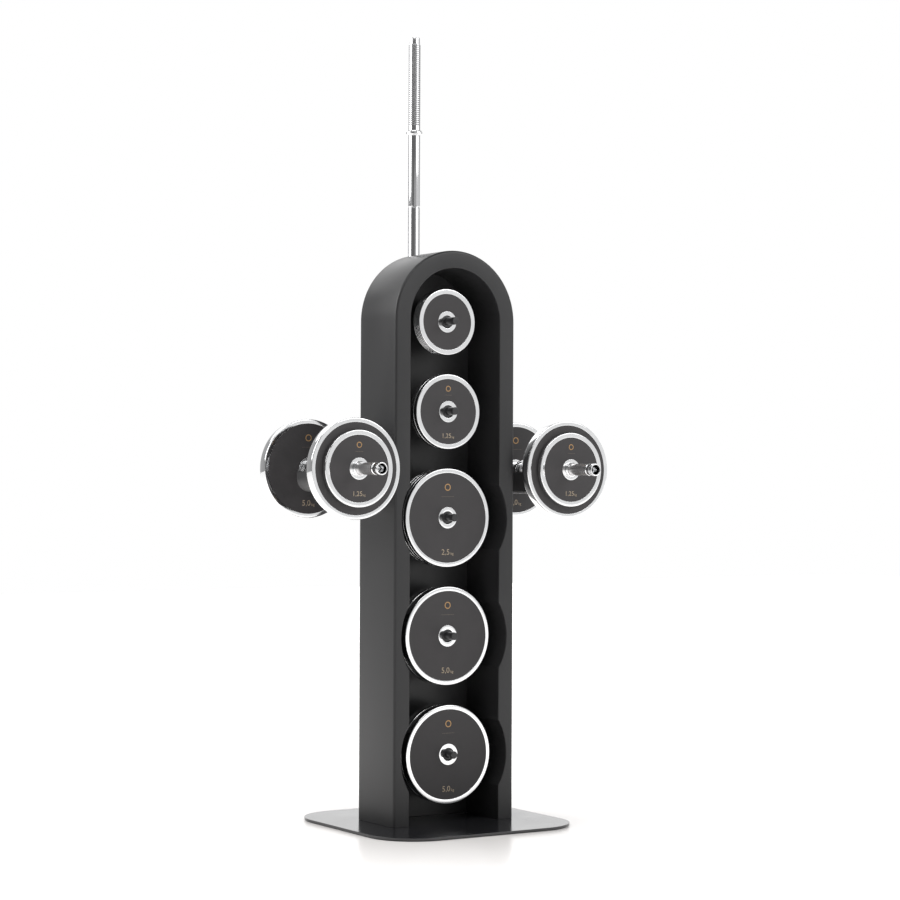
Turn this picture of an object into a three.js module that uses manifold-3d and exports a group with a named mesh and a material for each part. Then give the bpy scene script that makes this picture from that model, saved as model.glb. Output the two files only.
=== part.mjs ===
// Free-standing home gym rack: an arched tower on a floor plate, with five pegs of stored plates,
// two loaded dumbbells in side cradles and a long bar standing in a socket behind the tower.
// Millimetres, +Z up. The origin is the centre of the footprint, the front faces -Y.
import * as THREE from "three";
import { mergeVertices } from "three/addons/utils/BufferGeometryUtils.js";
import Module from "manifold-3d";

const wasm = await Module();
wasm.setup();

// Fits
const TOUCH = 0.3; // gap left between faces that touch
const BAR_CLEARANCE = 0.5; // radial play of a plate's hole, a socket or a clip on a bar

// Floor plate and its felt underlay
const BASE_WIDTH = 454;
const BASE_DEPTH = 438;
const BASE_CORNER = 100;
const BASE_TOP = 6.5;
const PAD_THICKNESS = 1.5;
const PAD_INSET = 3;

// Tower: an arch-topped box, open in front
const TOWER_WIDTH = 283;
const TOWER_DEPTH = 142.7;
const TOWER_HEIGHT = 1156;
const TOWER_SETBACK = 2.35; // the tower's mid-depth behind the middle of the floor plate
const WALL = 35.5;
const NICHE_DEPTH = 120;
const BACK_PANEL = 18;
const FINGER_ROOM = 25; // radial room between a large plate and the scoops in the side walls

// Plates: diameter and thickness of each weight
const HOLE_DIAMETER = 26;
const STACK_GAP = 0.4;
const PLATE_GAP = 39.5; // clear height between the plates of two pegs
const BOTTOM_GAP = 36.3; // clear height under the lowest plates
const HUB_DIAMETER = 43;
const RIM_WIDTH = 9.7;
const PLATES = {
  half: { label: "0_5kg", diameter: 134, thickness: 4.8, hollow: 0 },
  one: { label: "1_25kg", diameter: 152, thickness: 11.7, hollow: 3.6 },
  two: { label: "2_5kg", diameter: 200, thickness: 10.3, hollow: 0 },
  five: { label: "5kg", diameter: 200, thickness: 21, hollow: 0 },
};

// Pegs, from the floor up: what each holds and how far back its stack starts
const PEG_DIAMETER = 24; // the shank that the plates hang on
const PEG_NOSE = 15.5; // the thinner nose in front of the plates
const PEG_NOSE_SET = 1; // how far the shank stops behind the front plate's face
const PEG_SHOULDER = 30;
const PEG_BORE_DEPTH = 24;
const PEGS = [
  { plate: PLATES.five, count: 2, front: 22.4, scoop: true },
  { plate: PLATES.five, count: 2, front: 26.9, scoop: true },
  { plate: PLATES.two, count: 4, front: 28.3, scoop: true },
  { plate: PLATES.one, count: 2, front: 27.7, scoop: false },
  { plate: PLATES.half, count: 5, front: 33, scoop: false },
];
const BOLT_DIAMETER = 8;
const BOLT_HEAD = 16;
const BOLT_HEAD_HEIGHT = 4;
const BOLT_GRIP = 20; // bolt length inside the peg

// Dumbbells
const BAR_DIAMETER = HOLE_DIAMETER - 2 * BAR_CLEARANCE;
const DUMBBELL_X = 251.3;
const DUMBBELL_Z = 714; // above the floor plate
const INNER_SPAN = 173; // between the inner faces of the large plates
const GRIP_DIAMETER = 28;
const FLANGE_SPAN = 112.6; // between the two inner flanges, the length of the grip
const FLANGE_DIAMETER = 40;
const FLANGE_THICKNESS = 6;
const NECK_DIAMETER = 31;
const THREAD_DIAMETER = 16;
const THREAD_LENGTH = 40;
const LOCK_LENGTH = 87;
const LOCK_ROOT = 30;
const LOCK_ROOT_THICKNESS = 3;
const LOCK_BORE = 17;
const LOCK_MOUTH = 21;
const LOCK_MOUTH_DEPTH = 7;

// Side cradles
const CRADLE_REACH = 309; // outer end, from the middle of the tower
const CRADLE_WIDTH = 60;
const CRADLE_BOTTOM = 668; // above the floor plate
const CRADLE_TOP = 709;
const CRADLE_CORNER = 27;
const BRACKET_REACH = 230;
const BRACKET_THICKNESS = 3.2;

// Long bar behind the tower
const LONG_BAR_LENGTH = 1610.7;
const LONG_BAR_CLEARANCE = 10.8; // between the bar and the tower's back
const TIP_DIAMETER = 22;
const TIP_LENGTH = 14;
const SLEEVE_LENGTH = 180;
const LONG_COLLAR_DIAMETER = 35;
const LONG_COLLAR_THICKNESS = 9;
const SOCKET_WALL = 8;
const SOCKET_HEIGHT = 34;
const CLIP_Z = 930; // above the floor plate
const CLIP_WIDTH = 44;
const CLIP_HEIGHT = 30;
const CLIP_MOUTH = 21;

// Facets: how many sides stand for a full circle
const PLATE_SIDES = 24;
const BAR_SIDES = 20;
const SMALL_SIDES = 16;
const BOLT_SIDES = 10;
const SCOOP_SIDES = 60;

// Places worked out from the sizes above
const TOWER_FRONT = TOWER_SETBACK - TOWER_DEPTH / 2;
const TOWER_BACK = TOWER_FRONT + TOWER_DEPTH;
const PANEL_FRONT = TOWER_FRONT + NICHE_DEPTH;
const PANEL_REAR = PANEL_FRONT + BACK_PANEL;
const ARCH_OUTER = TOWER_WIDTH / 2;
const ARCH_INNER = ARCH_OUTER - WALL;
const SPRING_Z = BASE_TOP + TOWER_HEIGHT - ARCH_OUTER; // where the arch starts
const LONG_BAR_Y = TOWER_BACK + LONG_BAR_CLEARANCE + BAR_DIAMETER / 2;
const SOCKET_BORE = BAR_DIAMETER + 2 * BAR_CLEARANCE;

const FINISHES = {
  lacquer: { color: 0x2a2a2c, roughness: 0.45, metalness: 0.0 },
  coated: { color: 0x262628, roughness: 0.4, metalness: 0.2 },
  chrome: { color: 0xd8dadc, roughness: 0.12, metalness: 1.0 },
  zinc: { color: 0x8c9094, roughness: 0.35, metalness: 0.9 },
  rubber: { color: 0x1b1b1c, roughness: 0.7, metalness: 0.0 },
  felt: { color: 0x3a3a3c, roughness: 0.95, metalness: 0.0 },
};

const rack = new THREE.Group();

/** Adds one named piece to the rack in its own material. */
function addPiece(name, geometry, finish) {
  const mesh = new THREE.Mesh(geometry, new THREE.MeshStandardMaterial(FINISHES[finish]));
  mesh.name = name;
  rack.add(mesh);
  return mesh;
}

/** A geometry as a manifold solid. */
function toSolid(geometry) {
  const bare = geometry.clone();
  bare.deleteAttribute("normal");
  bare.deleteAttribute("uv");
  const merged = mergeVertices(bare, 1e-4);
  const vertProperties = new Float32Array(merged.attributes.position.array);
  const triVerts = new Uint32Array(merged.index.array);
  return new wasm.Manifold(new wasm.Mesh({ numProp: 3, vertProperties, triVerts }));
}

/** A manifold solid as a geometry. */
function toGeometry(solid) {
  const mesh = solid.getMesh();
  const geometry = new THREE.BufferGeometry();
  geometry.setAttribute("position", new THREE.BufferAttribute(new Float32Array(mesh.vertProperties), 3));
  geometry.setIndex(Array.from(mesh.triVerts));
  return geometry;
}

/** A turned piece about the Y axis, from [radius, y] points that run up its outside. */
function turned(points, segments) {
  return new THREE.LatheGeometry(points.map(([r, y]) => new THREE.Vector2(r, y)), segments);
}

/** A ring about the Y axis, its low face at y = 0. */
function ring(bore, diameter, length, segments) {
  const inner = bore / 2;
  const outer = diameter / 2;
  return turned([[inner, 0], [outer, 0], [outer, length], [inner, length], [inner, 0]], segments);
}

/** Turns a piece made about the Y axis upright. */
function upright(geometry) {
  return geometry.rotateX(Math.PI / 2);
}

/** Extrudes an outline drawn in X and Z along Y, from y0 back to y1. */
function extrudeBack(shape, y0, y1, curveSegments) {
  const geometry = new THREE.ExtrudeGeometry(shape, {
    depth: y1 - y0,
    bevelEnabled: false,
    curveSegments,
  });
  return geometry.rotateX(Math.PI / 2).translate(0, y1, 0);
}

/** Extrudes an outline drawn in X and Y upward, from z0 to z1. */
function extrudeUp(shape, z0, z1, curveSegments) {
  const geometry = new THREE.ExtrudeGeometry(shape, {
    depth: z1 - z0,
    bevelEnabled: false,
    curveSegments,
  });
  return geometry.translate(0, 0, z0);
}

/** A rectangle with rounded corners, centred on the origin. */
function roundedRectangle(width, depth, corner) {
  const x = width / 2 - corner;
  const y = depth / 2 - corner;
  const shape = new THREE.Shape();
  shape.absarc(x, y, corner, 0, Math.PI / 2);
  shape.absarc(-x, y, corner, Math.PI / 2, Math.PI);
  shape.absarc(-x, -y, corner, Math.PI, 1.5 * Math.PI);
  shape.absarc(x, -y, corner, 1.5 * Math.PI, 2 * Math.PI);
  shape.closePath();
  return shape;
}

/** Height of each peg's plate centres above the floor, from the bottom peg up. */
function plateHeights() {
  const heights = [];
  let top = BASE_TOP + BOTTOM_GAP;
  for (const peg of PEGS) {
    const radius = peg.plate.diameter / 2;
    heights.push(top + radius);
    top += 2 * radius + PLATE_GAP;
  }
  return heights;
}

/** A peg's height above its plates' centre: the plates hang from the top of their holes. */
const PEG_LIFT = (HOLE_DIAMETER - PEG_DIAMETER) / 2 - TOUCH;

function buildBase() {
  const plate = roundedRectangle(BASE_WIDTH, BASE_DEPTH, BASE_CORNER);
  addPiece("floor_plate", extrudeUp(plate, PAD_THICKNESS + TOUCH, BASE_TOP, 5), "coated");
  const pad = roundedRectangle(
    BASE_WIDTH - 2 * PAD_INSET,
    BASE_DEPTH - 2 * PAD_INSET,
    BASE_CORNER - PAD_INSET,
  );
  addPiece("floor_pad", extrudeUp(pad, 0, PAD_THICKNESS, 5), "felt");
}

/** One side wall, scooped beside each peg of large plates. side is -1 for left, 1 for right. */
function sideWall(side, heights) {
  const bottom = BASE_TOP + TOUCH;
  const inner = side * ARCH_INNER;
  const outer = side * ARCH_OUTER;
  const outline = new THREE.Shape();
  outline.moveTo(inner, bottom);
  outline.lineTo(outer, bottom);
  outline.lineTo(outer, SPRING_Z);
  outline.lineTo(inner, SPRING_Z);
  outline.closePath();
  let solid = toSolid(extrudeBack(outline, TOWER_FRONT, TOWER_BACK, 1));
  const overrun = 10;
  PEGS.forEach((peg, i) => {
    if (!peg.scoop) {
      return;
    }
    const reach = peg.plate.diameter / 2 + FINGER_ROOM;
    const cutter = new THREE.CylinderGeometry(reach, reach, NICHE_DEPTH + overrun, SCOOP_SIDES);
    cutter.translate(0, TOWER_FRONT + (NICHE_DEPTH - overrun) / 2, heights[i]);
    solid = solid.subtract(toSolid(cutter));
  });
  return toGeometry(solid);
}

/** The half ring that closes the top of the tower. */
function archCap() {
  const shape = new THREE.Shape();
  shape.absarc(0, 0, ARCH_OUTER, 0, Math.PI, false);
  shape.absarc(0, 0, ARCH_INNER, Math.PI, 0, true);
  shape.closePath();
  const geometry = extrudeBack(shape, TOWER_FRONT, TOWER_BACK, 12);
  return geometry.translate(0, 0, SPRING_Z + TOUCH);
}

/** The panel behind the pegs, with a through hole for each peg's bolt. */
function backPanel(heights) {
  const radius = ARCH_INNER - TOUCH;
  const bottom = BASE_TOP + TOUCH;
  const shape = new THREE.Shape();
  shape.moveTo(-radius, bottom);
  shape.lineTo(radius, bottom);
  shape.absarc(0, SPRING_Z, radius, 0, Math.PI, false);
  shape.closePath();
  const holeRadius = BOLT_DIAMETER / 2 + TOUCH;
  for (const height of heights) {
    const hole = new THREE.Path();
    hole.absarc(0, height + PEG_LIFT, holeRadius, 0, 2 * Math.PI, true);
    shape.holes.push(hole);
  }
  return extrudeBack(shape, PANEL_FRONT, PANEL_REAR, 7);
}

function buildTower(heights) {
  addPiece("left_wall", sideWall(-1, heights), "lacquer");
  addPiece("right_wall", sideWall(1, heights), "lacquer");
  addPiece("arch_cap", archCap(), "lacquer");
  addPiece("back_panel", backPanel(heights), "lacquer");
}

/** Depth of a peg's whole stack, front face to rear face. */
function stackDepth(peg) {
  return peg.count * peg.plate.thickness + (peg.count - 1) * STACK_GAP;
}

/** A peg with a nose, a shank, a shoulder behind its stack and a blind bore for its bolt. */
function pegGeometry(peg) {
  const chamfer = 1;
  const nose = PEG_NOSE / 2;
  const radius = PEG_DIAMETER / 2;
  const shank = TOWER_FRONT + peg.front + PEG_NOSE_SET;
  const bore = BOLT_DIAMETER / 2 + TOUCH;
  const rear = PANEL_FRONT - TOUCH;
  const shoulderFace = TOWER_FRONT + peg.front + stackDepth(peg) + TOUCH;
  return turned([
    [0, TOWER_FRONT],
    [nose - chamfer, TOWER_FRONT],
    [nose, TOWER_FRONT + chamfer],
    [nose, shank],
    [radius - chamfer, shank],
    [radius, shank + chamfer],
    [radius, shoulderFace],
    [PEG_SHOULDER / 2, shoulderFace],
    [PEG_SHOULDER / 2, rear],
    [bore, rear],
    [bore, rear - PEG_BORE_DEPTH],
    [0, rear - PEG_BORE_DEPTH],
  ], SMALL_SIDES);
}

/** The bolt that holds a peg to the back panel from behind. */
function pegBolt() {
  const shank = BOLT_DIAMETER / 2;
  const head = PANEL_REAR + TOUCH;
  return turned([
    [0, PANEL_FRONT - TOUCH - BOLT_GRIP],
    [shank, PANEL_FRONT - TOUCH - BOLT_GRIP],
    [shank, head],
    [BOLT_HEAD / 2, head],
    [BOLT_HEAD / 2, head + BOLT_HEAD_HEIGHT],
    [0, head + BOLT_HEAD_HEIGHT],
  ], BOLT_SIDES);
}

/** A weight plate about the Y axis, its face at y = 0 and its hollow, if any, on the +Y side. */
function plateGeometry(plate) {
  if (plate.hollow === 0) {
    return ring(HOLE_DIAMETER, plate.diameter, plate.thickness, PLATE_SIDES);
  }
  const bore = HOLE_DIAMETER / 2;
  const outer = plate.diameter / 2;
  const floor = plate.thickness - plate.hollow;
  return turned([
    [bore, 0],
    [outer, 0],
    [outer, plate.thickness],
    [outer - RIM_WIDTH, plate.thickness],
    [outer - RIM_WIDTH, floor],
    [HUB_DIAMETER / 2, floor],
    [HUB_DIAMETER / 2, plate.thickness],
    [bore, plate.thickness],
    [bore, 0],
  ], PLATE_SIDES);
}

function buildPegs(heights) {
  PEGS.forEach((peg, i) => {
    const place = i + 1;
    const axis = heights[i] + PEG_LIFT;
    addPiece(`peg_${place}`, pegGeometry(peg), "coated").position.z = axis;
    addPiece(`peg_bolt_${place}`, pegBolt(), "zinc").position.z = axis;
    for (let n = 0; n < peg.count; n += 1) {
      const name = `peg_${place}_plate_${peg.plate.label}_${n + 1}`;
      const mesh = addPiece(name, plateGeometry(peg.plate), "chrome");
      const front = TOWER_FRONT + peg.front + n * (peg.plate.thickness + STACK_GAP);
      mesh.position.set(0, front, heights[i]);
    }
  });
}

/** The bar of a dumbbell: grip in the middle, plain ends for the plates, threads at the tips. */
function dumbbellBar() {
  const grip = FLANGE_SPAN / 2 - TOUCH;
  const plain = INNER_SPAN / 2 + PLATES.five.thickness + PLATES.one.thickness;
  const tip = plain + THREAD_LENGTH;
  const half = [
    [GRIP_DIAMETER / 2, grip],
    [BAR_DIAMETER / 2, grip],
    [BAR_DIAMETER / 2, plain],
    [THREAD_DIAMETER / 2, plain],
    [THREAD_DIAMETER / 2, tip],
    [0, tip],
  ];
  const mirrored = half.map(([r, y]) => [r, -y]).reverse();
  return turned([...mirrored, ...half], BAR_SIDES);
}

/** The stepped collar between the grip and the large plate, made for the +Y end. */
function innerCollar() {
  const bore = BAR_DIAMETER / 2 + TOUCH;
  const start = FLANGE_SPAN / 2;
  const end = INNER_SPAN / 2 - TOUCH;
  return turned([
    [bore, start],
    [FLANGE_DIAMETER / 2, start],
    [FLANGE_DIAMETER / 2, start + FLANGE_THICKNESS],
    [NECK_DIAMETER / 2, start + FLANGE_THICKNESS],
    [NECK_DIAMETER / 2, end],
    [bore, end],
    [bore, start],
  ], BAR_SIDES);
}

/** The long tubular nut that locks a dumbbell's plates, made for the +Y end, its root at y = 0. */
function lockSleeve() {
  const outer = BAR_DIAMETER / 2;
  const bore = LOCK_BORE / 2;
  return turned([
    [bore, 0],
    [LOCK_ROOT / 2, 0],
    [LOCK_ROOT / 2, LOCK_ROOT_THICKNESS],
    [outer, LOCK_ROOT_THICKNESS],
    [outer, LOCK_LENGTH],
    [LOCK_MOUTH / 2, LOCK_LENGTH],
    [bore, LOCK_LENGTH - LOCK_MOUTH_DEPTH],
    [bore, 0],
  ], BAR_SIDES);
}

/** Puts a piece made for the +Y end of a dumbbell on either end, by a half turn about Z. */
function placeOnEnd(mesh, x, end, distance) {
  mesh.rotation.z = end > 0 ? 0 : Math.PI;
  mesh.position.set(x, TOWER_SETBACK + end * distance, BASE_TOP + DUMBBELL_Z);
}

function buildDumbbell(name, x) {
  const bar = addPiece(`${name}_dumbbell_bar`, dumbbellBar(), "chrome");
  placeOnEnd(bar, x, 1, 0);
  const large = INNER_SPAN / 2;
  const small = large + PLATES.five.thickness + STACK_GAP;
  const lock = small + PLATES.one.thickness + STACK_GAP;
  for (const [place, end] of [["front", -1], ["rear", 1]]) {
    const stem = `${name}_${place}`;
    placeOnEnd(addPiece(`${stem}_collar`, innerCollar(), "chrome"), x, end, 0);
    placeOnEnd(addPiece(`${stem}_plate_5kg`, plateGeometry(PLATES.five), "chrome"), x, end, large);
    const outerPlate = plateGeometry(PLATES.one).rotateZ(Math.PI).translate(0, PLATES.one.thickness, 0);
    placeOnEnd(addPiece(`${stem}_plate_1_25kg`, outerPlate, "chrome"), x, end, small);
    placeOnEnd(addPiece(`${stem}_lock`, lockSleeve(), "chrome"), x, end, lock);
  }
}

/** A cradle block beside the tower, with a round groove for the grip. side is -1 or 1. */
function cradleBlock(side) {
  const inner = ARCH_OUTER + TOUCH;
  const axis = BASE_TOP + DUMBBELL_Z;
  const top = BASE_TOP + CRADLE_TOP;
  const bottom = BASE_TOP + CRADLE_BOTTOM;
  const radius = GRIP_DIAMETER / 2 + TOUCH;
  const half = Math.acos((axis - top) / radius);
  const down = -Math.PI / 2;
  const shape = new THREE.Shape();
  shape.moveTo(inner, top);
  shape.absarc(DUMBBELL_X, axis, radius, down - half, down + half, false);
  shape.lineTo(CRADLE_REACH, top);
  shape.absarc(CRADLE_REACH - CRADLE_CORNER, bottom + CRADLE_CORNER, CRADLE_CORNER, 0, down, true);
  shape.lineTo(inner, bottom);
  shape.closePath();
  const front = TOWER_SETBACK - CRADLE_WIDTH / 2;
  const geometry = extrudeBack(shape, front, front + CRADLE_WIDTH, 8);
  return side > 0 ? geometry : geometry.rotateZ(Math.PI).translate(0, 2 * TOWER_SETBACK, 0);
}

/** The polished plate under a cradle block. */
function cradleBracket(side) {
  const inner = ARCH_OUTER + TOUCH;
  const length = BRACKET_REACH - inner;
  const top = BASE_TOP + CRADLE_BOTTOM - TOUCH;
  const geometry = new THREE.BoxGeometry(length, CRADLE_WIDTH, BRACKET_THICKNESS);
  return geometry.translate(side * (inner + length / 2), TOWER_SETBACK, top - BRACKET_THICKNESS / 2);
}

function buildSide(name, side) {
  addPiece(`${name}_cradle`, cradleBlock(side), "rubber");
  addPiece(`${name}_cradle_bracket`, cradleBracket(side), "chrome");
  buildDumbbell(name, side * DUMBBELL_X);
}

/** The long bar about the Y axis, its low end at y = 0. */
function longBar() {
  const chamfer = 1;
  const radius = BAR_DIAMETER / 2;
  const tip = TIP_DIAMETER / 2;
  const low = [
    [0, 0],
    [tip - chamfer, 0],
    [tip, chamfer],
    [tip, TIP_LENGTH],
    [radius, TIP_LENGTH + chamfer],
  ];
  const high = low.map(([r, y]) => [r, LONG_BAR_LENGTH - y]).reverse();
  return turned([...low, ...high], BAR_SIDES);
}

/** The cup on the floor plate that the long bar stands in. */
function longBarSocket() {
  const bore = SOCKET_BORE / 2;
  const outer = bore + SOCKET_WALL;
  const chamfer = 2;
  return turned([
    [bore, 0],
    [outer, 0],
    [outer, SOCKET_HEIGHT - chamfer],
    [outer - chamfer, SOCKET_HEIGHT],
    [bore, SOCKET_HEIGHT],
    [bore, 0],
  ], PLATE_SIDES);
}

/** The clip on the back panel, open to the rear, that steadies the long bar. */
function longBarClip() {
  const y0 = PANEL_REAR + TOUCH;
  const bore = SOCKET_BORE / 2;
  const mouth = Math.asin(CLIP_MOUTH / 2 / bore);
  const tipY = LONG_BAR_Y + bore * Math.cos(mouth);
  const half = CLIP_WIDTH / 2;
  const shape = new THREE.Shape();
  shape.moveTo(-half, y0);
  shape.lineTo(half, y0);
  shape.lineTo(half, tipY);
  const up = Math.PI / 2;
  shape.absarc(0, LONG_BAR_Y, bore, up - mouth, up + mouth, true);
  shape.lineTo(-half, tipY);
  shape.closePath();
  return extrudeUp(shape, 0, CLIP_HEIGHT, 12);
}

function buildLongBar() {
  const foot = BASE_TOP + TOUCH;
  addPiece("long_bar", upright(longBar()), "chrome").position.set(0, LONG_BAR_Y, foot);
  const collar = ring(BAR_DIAMETER + 2 * TOUCH, LONG_COLLAR_DIAMETER, LONG_COLLAR_THICKNESS, BAR_SIDES);
  const reach = TIP_LENGTH + SLEEVE_LENGTH;
  const low = foot + reach;
  const high = foot + LONG_BAR_LENGTH - reach - LONG_COLLAR_THICKNESS;
  addPiece("long_bar_lower_collar", upright(collar.clone()), "chrome").position.set(0, LONG_BAR_Y, low);
  addPiece("long_bar_upper_collar", upright(collar.clone()), "chrome").position.set(0, LONG_BAR_Y, high);
  addPiece("long_bar_socket", upright(longBarSocket()), "coated").position.set(0, LONG_BAR_Y, foot);
  const clip = addPiece("long_bar_clip", longBarClip(), "rubber");
  clip.position.z = BASE_TOP + CLIP_Z - CLIP_HEIGHT / 2;
}

const heights = plateHeights();
buildBase();
buildTower(heights);
buildPegs(heights);
buildSide("left", -1);
buildSide("right", 1);
buildLongBar();

export default rack;
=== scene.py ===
"""Looks of an arch-topped dumbbell rack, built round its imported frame.

Sizes of the rack's pieces are millimetres. The finishes, the studio and the meshes are in metres, +Z up, with
the front facing -Y.
"""

import logging
import math
from dataclasses import dataclass, field
from enum import Enum

import bmesh
import bpy
from mathutils import Matrix, Vector


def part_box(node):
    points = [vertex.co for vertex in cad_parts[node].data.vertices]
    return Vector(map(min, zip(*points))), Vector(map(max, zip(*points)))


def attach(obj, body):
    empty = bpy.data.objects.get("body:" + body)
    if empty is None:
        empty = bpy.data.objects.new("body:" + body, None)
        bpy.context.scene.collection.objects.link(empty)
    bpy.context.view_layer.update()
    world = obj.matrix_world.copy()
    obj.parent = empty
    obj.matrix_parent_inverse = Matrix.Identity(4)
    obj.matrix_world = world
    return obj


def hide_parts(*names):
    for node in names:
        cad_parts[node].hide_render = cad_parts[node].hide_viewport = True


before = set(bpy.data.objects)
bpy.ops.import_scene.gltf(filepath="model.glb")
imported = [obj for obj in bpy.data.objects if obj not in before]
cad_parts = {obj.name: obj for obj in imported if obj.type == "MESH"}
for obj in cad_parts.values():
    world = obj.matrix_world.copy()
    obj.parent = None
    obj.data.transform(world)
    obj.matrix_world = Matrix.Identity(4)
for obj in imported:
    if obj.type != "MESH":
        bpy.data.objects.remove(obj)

MM = 0.001
LOG = logging.getLogger("rack")
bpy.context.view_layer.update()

Colour = tuple[float, float, float]
Outline = list[tuple[float, float]]

# Nearly all of a noise's values fall between these two.
NOISE_LOW, NOISE_HIGH = 0.3, 0.7

# What neighbouring pieces keep clear of each other, in millimetres.
GAP = 0.3


class Side(Enum):
    """Which side of the tower a dumbbell hangs on."""

    LEFT = "left"
    RIGHT = "right"

    @property
    def sign(self) -> int:
        """-1 for the left side and 1 for the right."""
        return -1 if self is Side.LEFT else 1


class End(Enum):
    """Which end of a dumbbell a piece sits on."""

    FRONT = "front"
    REAR = "rear"

    @property
    def sign(self) -> int:
        """-1 for the end that faces the viewer and 1 for the far end."""
        return -1 if self is End.FRONT else 1


class Axis(Enum):
    """The axis that a turned piece is made about."""

    DEPTH = "y"
    HEIGHT = "z"


# ---------------------------------------------------------------- finishes


@dataclass(frozen=True)
class Grain:
    """A noise over a piece: cells per metre, octaves, and scale along X, Y and Z."""

    scale: float
    detail: float
    stretch: tuple[float, float, float] = (1, 1, 1)


class NodeBench:
    """Short ways to add and join shader nodes in one material."""

    def __init__(self, name: str) -> None:
        """Makes an empty node material.

        Args:
            name: The material's name.
        """
        self.material = bpy.data.materials.new(name)
        self.material.use_nodes = True
        self.tree = self.material.node_tree
        self.tree.nodes.clear()
        self.output = self.tree.nodes.new("ShaderNodeOutputMaterial")
        self.shader = self.tree.nodes.new("ShaderNodeBsdfPrincipled")
        self.tree.links.new(self.shader.outputs["BSDF"], self.output.inputs["Surface"])

    def add(self, kind: str, **values: object) -> bpy.types.Node:
        """Adds a node.

        Args:
            kind: The node's type name.
            **values: Attributes to set on it.

        Returns:
            The new node.
        """
        node = self.tree.nodes.new(kind)
        for key, value in values.items():
            setattr(node, key, value)
        return node

    def join(self, source: bpy.types.NodeSocket, target: bpy.types.NodeSocket) -> None:
        """Links one socket to another."""
        self.tree.links.new(source, target)

    def place(self) -> bpy.types.NodeSocket:
        """Returns the object-space position, in metres."""
        return self.add("ShaderNodeTexCoord").outputs["Object"]

    def noise(self, grain: Grain) -> bpy.types.NodeSocket:
        """Adds a noise over the object's own space.

        Args:
            grain: Its scale, detail and stretch.

        Returns:
            The noise value, 0 to 1.
        """
        mapping = self.add("ShaderNodeMapping")
        mapping.inputs["Scale"].default_value = grain.stretch
        self.join(self.place(), mapping.inputs["Vector"])
        node = self.add("ShaderNodeTexNoise")
        node.inputs["Scale"].default_value = grain.scale
        node.inputs["Detail"].default_value = grain.detail
        self.join(mapping.outputs["Vector"], node.inputs["Vector"])
        return node.outputs["Fac"]

    def work_out(
        self,
        operation: str,
        *values: bpy.types.NodeSocket | float,
    ) -> bpy.types.NodeSocket:
        """Adds a math node.

        Args:
            operation: What it does.
            *values: Its inputs in order, each a socket or a number.

        Returns:
            The result.
        """
        node = self.add("ShaderNodeMath", operation=operation)
        for target, value in zip(node.inputs, values):
            if isinstance(value, (int, float)):
                target.default_value = value
            else:
                self.join(value, target)
        return node.outputs["Value"]

    def span(self, value: bpy.types.NodeSocket, low: float, high: float) -> bpy.types.NodeSocket:
        """Maps a 0 to 1 value onto low to high.

        Args:
            value: The socket to map.
            low: What NOISE_LOW becomes.
            high: What NOISE_HIGH becomes.

        Returns:
            The mapped value.
        """
        node = self.add("ShaderNodeMapRange")
        node.inputs["From Min"].default_value = NOISE_LOW
        node.inputs["From Max"].default_value = NOISE_HIGH
        node.inputs["To Min"].default_value = low
        node.inputs["To Max"].default_value = high
        self.join(value, node.inputs["Value"])
        return node.outputs["Result"]

    def tint(self, value: bpy.types.NodeSocket, dark: Colour, light: Colour) -> bpy.types.NodeSocket:
        """Maps a 0 to 1 value onto two colours.

        Args:
            value: The socket to map.
            dark: The colour at NOISE_LOW.
            light: The colour at NOISE_HIGH.

        Returns:
            The colour.
        """
        ramp = self.add("ShaderNodeValToRGB")
        marks = zip(ramp.color_ramp.elements, (NOISE_LOW, NOISE_HIGH), (dark, light))
        for mark, position, colour in marks:
            mark.position = position
            mark.color = (*colour, 1)
        self.join(value, ramp.inputs["Fac"])
        return ramp.outputs["Color"]

    def relief(self, height: bpy.types.NodeSocket, depth: float, strength: float = 1.0) -> None:
        """Adds a bump to the shader.

        Args:
            height: The height map, 0 to 1.
            depth: Height of the relief, in metres.
            strength: How strongly it shows.
        """
        bump = self.add("ShaderNodeBump")
        bump.inputs["Distance"].default_value = depth
        bump.inputs["Strength"].default_value = strength
        self.join(height, bump.inputs["Height"])
        self.join(bump.outputs["Normal"], self.shader.inputs["Normal"])


@dataclass(frozen=True)
class Finish:
    """A surface finish with one material, made on first use.

    Colour and roughness follow one slow drift, and equal roughnesses are set as one number. The relief
    follows the fine grain, or the drift where there is no grain, and a depth of 0 leaves it out.
    """

    name: str
    slot: str
    dark: Colour
    light: Colour
    smooth: float
    rough: float
    drift: Grain
    depth: float = 0.0
    strength: float = 1.0
    grain: Grain | None = None
    metal: float = 0.0
    gloss: float = 0.5

    def height(self, bench: NodeBench, drift: bpy.types.NodeSocket) -> bpy.types.NodeSocket:
        """Works out the height map of the relief.

        Args:
            bench: The node helper that holds the shader.
            drift: The drift that colour and roughness follow.

        Returns:
            The height, 0 to 1.
        """
        return bench.noise(self.grain) if self.grain else drift

    def dress(self, bench: NodeBench) -> None:
        """Wires the shader.

        Args:
            bench: The node helper that holds the shader.
        """
        shader = bench.shader.inputs
        shader["Metallic"].default_value = self.metal
        shader["Specular IOR Level"].default_value = self.gloss
        drift = bench.noise(self.drift)
        bench.join(bench.tint(drift, self.dark, self.light), shader["Base Color"])
        if self.smooth == self.rough:
            shader["Roughness"].default_value = self.rough
        else:
            bench.join(bench.span(drift, self.smooth, self.rough), shader["Roughness"])
        if self.depth > 0:
            bench.relief(self.height(bench, drift), self.depth, self.strength)

    def material(self) -> bpy.types.Material:
        """Returns the finish's material."""
        known = bpy.data.materials.get(self.name)
        if known is not None:
            return known
        bench = NodeBench(self.name)
        self.dress(bench)
        return bench.material


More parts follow.
